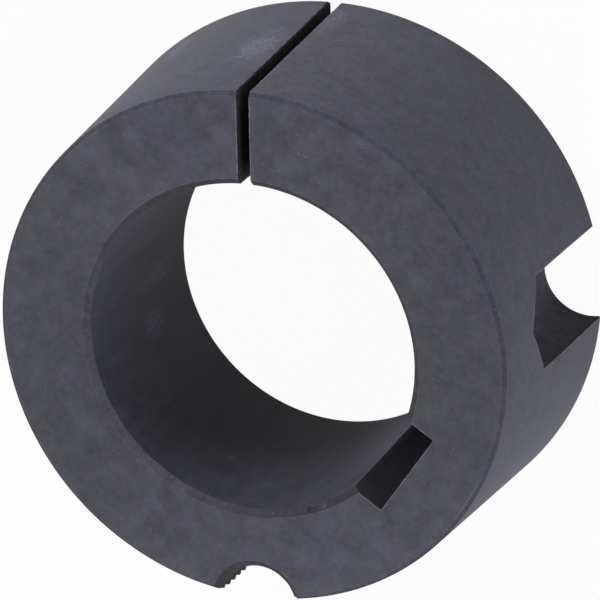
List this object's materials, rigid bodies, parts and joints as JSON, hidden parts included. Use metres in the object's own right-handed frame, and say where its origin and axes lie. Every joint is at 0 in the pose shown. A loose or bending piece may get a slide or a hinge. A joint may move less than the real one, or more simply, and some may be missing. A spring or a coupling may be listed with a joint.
{
  "type": "taper bush",
  "caption": "Split cast-iron taper bush that locks a pulley or sprocket on a keyed shaft, with half-round screw holes in its tapered seat.",
  "frame": {"origin": "centre of the bore in the plane of the large end, on which the bush stands", "axes": "+Z along the bore from the large end to the small end, +X from the bore's axis to the keyway"},
  "size_m": [0.0698, 0.0698, 0.0318],
  "materials": {
    "bush_iron": "dark grey phosphated iron, turned all over, faintly blotched, semi-matt"
  },
  "bodies": {
    "root": {"taper_bush": "bush_iron"}
  },
  "joints": []
}
